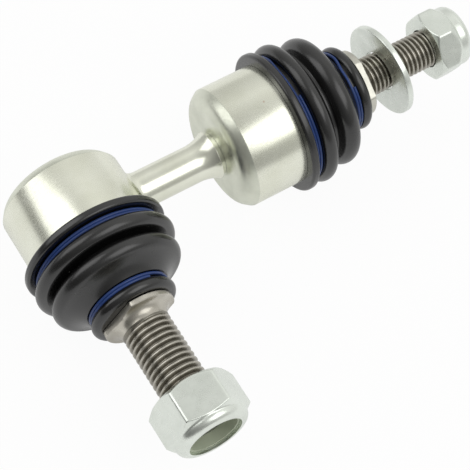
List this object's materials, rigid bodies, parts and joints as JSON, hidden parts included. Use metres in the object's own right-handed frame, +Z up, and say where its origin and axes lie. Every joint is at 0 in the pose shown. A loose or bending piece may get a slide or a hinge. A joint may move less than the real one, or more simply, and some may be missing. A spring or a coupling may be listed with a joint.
{
  "type": "stabilizer link",
  "caption": "Short car stabilizer link: a steel rod joins sealed ball joints whose threaded studs, with lock nuts, stand at right angles to each other.",
  "frame": {"origin": "On the lower stud's axis, where its full thread starts at the foot of the collar's fillet.", "axes": "The lower stud points along -Y, the rod and the upper stud along +X, and +Z is up with the part lying flat."},
  "size_m": [0.1268, 0.0808, 0.0364],
  "materials": {
    "zinc_body": "satin zinc plate with a pale yellow-green tint",
    "bright_zinc": "bright bluish-white zinc plate",
    "stud_steel": "bare oiled steel, darker in the thread",
    "boot_rubber": "black satin rubber",
    "ring_wire": "blue coated spring wire",
    "seat_plastic": "off-white bearing plastic",
    "ring_steel": "plain steel",
    "insert_nylon": "greenish-grey nylon"
  },
  "bodies": {
    "link": {"link_rod": "zinc_body", "lower_housing": "zinc_body", "upper_housing": "zinc_body", "lower_ball_seat": "seat_plastic", "upper_ball_seat": "seat_plastic", "lower_closing_ring": "ring_steel", "upper_closing_ring": "ring_steel"},
    "lower_boot_body": {"lower_boot": "boot_rubber", "lower_boot_large_ring": "ring_wire"},
    "lower_boot_end": {"lower_boot_small_ring": "ring_wire"},
    "lower_stud": {"lower_ball_stud": "stud_steel"},
    "lower_nut_core": {"lower_nut_insert": "insert_nylon"},
    "lower_nut_shell": {"lower_nut": "bright_zinc"},
    "upper_boot_body": {"upper_boot": "boot_rubber", "upper_boot_large_ring": "ring_wire"},
    "upper_boot_end": {"upper_boot_small_ring": "ring_wire"},
    "upper_stud": {"upper_ball_stud": "stud_steel"},
    "upper_nut_core": {"upper_nut_insert": "insert_nylon"},
    "upper_nut_shell": {"upper_nut": "bright_zinc"},
    "upper_washer_body": {"upper_washer": "bright_zinc"}
  },
  "joints": [
    {"name": "lower_swing_direction", "type": "hinge", "parent": "link", "child": "lower_boot_body", "pos_m": [0, 0.0318, 0], "axis": [0, -1, 0], "continuous": true},
    {"name": "lower_swing", "type": "hinge", "parent": "lower_boot_body", "child": "lower_boot_end", "pos_m": [0, 0.0318, 0], "axis": [0, 0, 1], "range_deg": [-20, 20], "deforming": ["lower_boot"]},
    {"name": "lower_stud_spin", "type": "hinge", "parent": "lower_boot_end", "child": "lower_stud", "pos_m": [0, 0.0318, 0], "axis": [0, -1, 0], "continuous": true},
    {"name": "lower_nut_advance", "type": "slide", "parent": "lower_stud", "child": "lower_nut_core", "axis": [0, -1, 0], "range_m": [-0.0175, 0.014]},
    {"name": "lower_nut_turn", "type": "hinge", "parent": "lower_nut_core", "child": "lower_nut_shell", "pos_m": [0, 0.0318, 0], "axis": [0, -1, 0], "range_deg": [-4202, 3362]},
    {"name": "upper_swing_direction", "type": "hinge", "parent": "link", "child": "upper_boot_body", "pos_m": [0.0485, 0.0318, 0], "axis": [1, 0, 0], "continuous": true},
    {"name": "upper_swing", "type": "hinge", "parent": "upper_boot_body", "child": "upper_boot_end", "pos_m": [0.0485, 0.0318, 0], "axis": [0, 0, 1], "range_deg": [-20, 20], "deforming": ["upper_boot"]},
    {"name": "upper_stud_spin", "type": "hinge", "parent": "upper_boot_end", "child": "upper_stud", "pos_m": [0.0485, 0.0318, 0], "axis": [1, 0, 0], "continuous": true},
    {"name": "upper_nut_advance", "type": "slide", "parent": "upper_stud", "child": "upper_nut_core", "axis": [1, 0, 0], "range_m": [-0.0025, 0.0125]},
    {"name": "upper_nut_turn", "type": "hinge", "parent": "upper_nut_core", "child": "upper_nut_shell", "pos_m": [0.0485, 0.0318, 0], "axis": [1, 0, 0], "range_deg": [-722, 3602]},
    {"name": "upper_washer_slide", "type": "slide", "parent": "upper_nut_core", "child": "upper_washer_body", "axis": [1, 0, 0], "range_m": [-0.0015, 0.011]}
  ],
  "couplings": [
    {"joint": "lower_nut_turn", "follows": "lower_nut_advance", "rad_per_m": 4188.8},
    {"joint": "upper_nut_turn", "follows": "upper_nut_advance", "rad_per_m": 5026.5}
  ]
}
